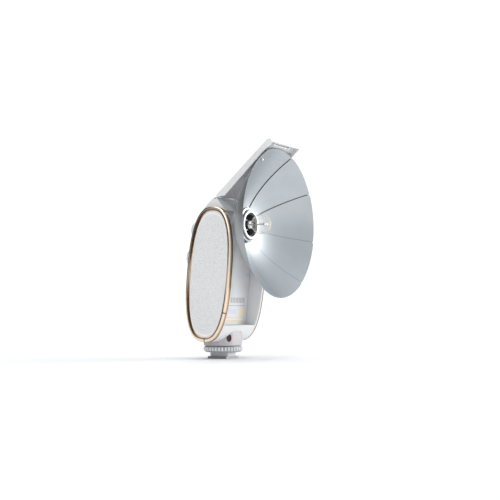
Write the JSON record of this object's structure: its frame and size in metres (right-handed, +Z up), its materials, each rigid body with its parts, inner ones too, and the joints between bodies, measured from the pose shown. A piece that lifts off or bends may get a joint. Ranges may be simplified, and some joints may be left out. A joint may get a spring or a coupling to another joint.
{
  "type": "flash bulb gun",
  "caption": "Slim flash gun with a fanned folding-petal reflector round a clear bulb, a hinged cover, trimmed leatherette sides and a shoe foot with locking ring.",
  "frame": {"origin": "centre of the underside of the accessory-shoe foot", "axes": "+Z up, -Y the way the lamp points, +X to the right seen from the front"},
  "size_m": [0.1206, 0.0816, 0.1753],
  "materials": {
    "shell_white": "moulded white ABS, satin",
    "trim_rose_gold": "rose-gold anodised, polished",
    "grip_leatherette": "pale embossed leatherette",
    "ring_grey": "pale grey moulded, fine texture",
    "window_dark": "dark maroon infrared-pass window",
    "foot_steel": "brushed",
    "insulator_grey": "grey moulded",
    "contact_brass": "turned and plated",
    "lamp_housing_grey": "pale grey moulded",
    "bezel_chrome": "satin chrome",
    "socket_black": "black moulded",
    "bulb_metal": "drawn",
    "bulb_clear": "clear blown",
    "petal_aluminium": "satin spun, anodised",
    "ready_lamp_amber": "translucent amber",
    "plate_label": "printed plate, no lettering",
    "board_green": "circuit board",
    "cell_wrap": "shrink wrap",
    "capacitor_sleeve": "shrink sleeve",
    "coil_copper": "copper winding"
  },
  "bodies": {
    "case": {"rear_shell": "shell_white", "front_deck": "shell_white", "left_cheek": "shell_white", "right_cheek": "shell_white", "hinge_shoulder": "shell_white", "neck_housing": "shell_white", "left_trim_ring": "trim_rose_gold", "right_trim_ring": "trim_rose_gold", "left_trim_segment": "trim_rose_gold", "right_trim_segment": "trim_rose_gold", "left_grip_panel": "grip_leatherette", "right_grip_panel": "grip_leatherette", "sensor_window": "window_dark", "foot_plate": "foot_steel", "foot_stem": "foot_steel", "hinge_pin": "foot_steel", "deck_screws": "foot_steel", "hub_sleeve": "foot_steel", "foot_block": "insulator_grey", "foot_contact": "contact_brass", "socket_contacts": "contact_brass", "sync_socket": "contact_brass", "lamp_housing": "lamp_housing_grey", "bulb_yoke": "lamp_housing_grey", "hub_bezel": "bezel_chrome", "lamp_socket": "socket_black", "button_switch": "socket_black", "dial_encoder": "socket_black", "switch_body": "socket_black", "petal_1": "petal_aluminium", "ready_lamp": "ready_lamp_amber", "rating_plate": "plate_label", "main_board": "board_green", "battery_cell": "cell_wrap", "flash_capacitor": "capacitor_sleeve", "trigger_coil": "coil_copper"},
    "cover": {"cover": "shell_white", "cover_catch": "shell_white"},
    "locking_ring": {"locking_ring": "ring_grey"},
    "lock_pin": {"lock_pin": "foot_steel"},
    "test_button": {"test_button": "ring_grey"},
    "mode_dial": {"mode_dial": "ring_grey", "dial_shaft": "foot_steel"},
    "power_switch": {"power_switch": "ring_grey"},
    "bulb": {"bulb_cap": "bulb_metal", "bulb_glass": "bulb_clear", "bulb_electrodes": "bulb_metal"},
    "petal_2": {"petal_2": "petal_aluminium"},
    "petal_3": {"petal_3": "petal_aluminium"},
    "petal_4": {"petal_4": "petal_aluminium"},
    "petal_5": {"petal_5": "petal_aluminium"},
    "petal_6": {"petal_6": "petal_aluminium"},
    "petal_7": {"petal_7": "petal_aluminium"},
    "petal_8": {"petal_8": "petal_aluminium"},
    "petal_9": {"petal_9": "petal_aluminium", "fan_tab": "bezel_chrome", "fan_rivet": "bezel_chrome"}
  },
  "joints": [
    {"name": "cover_hinge", "type": "hinge", "parent": "case", "child": "cover", "pos_m": [0, -0.00747, 0.13054], "axis": [-1, 0, 0], "range_deg": [0, 25]},
    {"name": "fan_spread", "type": "hinge", "parent": "case", "child": "petal_9", "pos_m": [0, -0.022, 0.1099], "axis": [0, -1, 0], "range_deg": [0, 320]},
    {"name": "petal_2_turn", "type": "hinge", "parent": "case", "child": "petal_2", "pos_m": [0, -0.022, 0.1099], "axis": [0, -1, 0], "range_deg": [0, 40.01]},
    {"name": "petal_3_turn", "type": "hinge", "parent": "case", "child": "petal_3", "pos_m": [0, -0.022, 0.1099], "axis": [0, -1, 0], "range_deg": [0, 80.01]},
    {"name": "petal_4_turn", "type": "hinge", "parent": "case", "child": "petal_4", "pos_m": [0, -0.022, 0.1099], "axis": [0, -1, 0], "range_deg": [0, 120.01]},
    {"name": "petal_5_turn", "type": "hinge", "parent": "case", "child": "petal_5", "pos_m": [0, -0.022, 0.1099], "axis": [0, -1, 0], "range_deg": [0, 160.01]},
    {"name": "petal_6_turn", "type": "hinge", "parent": "case", "child": "petal_6", "pos_m": [0, -0.022, 0.1099], "axis": [0, -1, 0], "range_deg": [0, 200.01]},
    {"name": "petal_7_turn", "type": "hinge", "parent": "case", "child": "petal_7", "pos_m": [0, -0.022, 0.1099], "axis": [0, -1, 0], "range_deg": [0, 240.01]},
    {"name": "petal_8_turn", "type": "hinge", "parent": "case", "child": "petal_8", "pos_m": [0, -0.022, 0.1099], "axis": [0, -1, 0], "range_deg": [0, 280.01]},
    {"name": "ring_turn", "type": "hinge", "parent": "case", "child": "locking_ring", "pos_m": [0, 0, 0.008], "axis": [0, 0, 1], "range_deg": [0, 90]},
    {"name": "pin_drop", "type": "slide", "parent": "case", "child": "lock_pin", "axis": [0, 0, -1], "range_m": [0, 0.001]},
    {"name": "test_press", "type": "slide", "parent": "case", "child": "test_button", "axis": [0, -0.9959, -0.0906], "range_m": [0, 0.0015], "stiffness_N_per_m": 400, "springref_m": -0.001},
    {"name": "dial_turn", "type": "hinge", "parent": "case", "child": "mode_dial", "pos_m": [-0.017, 0.01533, 0.08301], "axis": [0, 0.9959, 0.0906], "range_deg": [-60, 60]},
    {"name": "power_slide", "type": "slide", "parent": "case", "child": "power_switch", "axis": [0, -0.0906, 0.9959], "range_m": [0, 0.0048]},
    {"name": "bulb_pull", "type": "slide", "parent": "case", "child": "bulb", "axis": [0, -1, 0], "range_m": [0, 0.03]}
  ],
  "couplings": [
    {"joint": "petal_2_turn", "follows": "fan_spread", "ratio": 0.125},
    {"joint": "petal_3_turn", "follows": "fan_spread", "ratio": 0.25},
    {"joint": "petal_4_turn", "follows": "fan_spread", "ratio": 0.375},
    {"joint": "petal_5_turn", "follows": "fan_spread", "ratio": 0.5},
    {"joint": "petal_6_turn", "follows": "fan_spread", "ratio": 0.625},
    {"joint": "petal_7_turn", "follows": "fan_spread", "ratio": 0.75},
    {"joint": "petal_8_turn", "follows": "fan_spread", "ratio": 0.875},
    {"joint": "pin_drop", "follows": "ring_turn", "m_per_rad": 0.00063656}
  ]
}
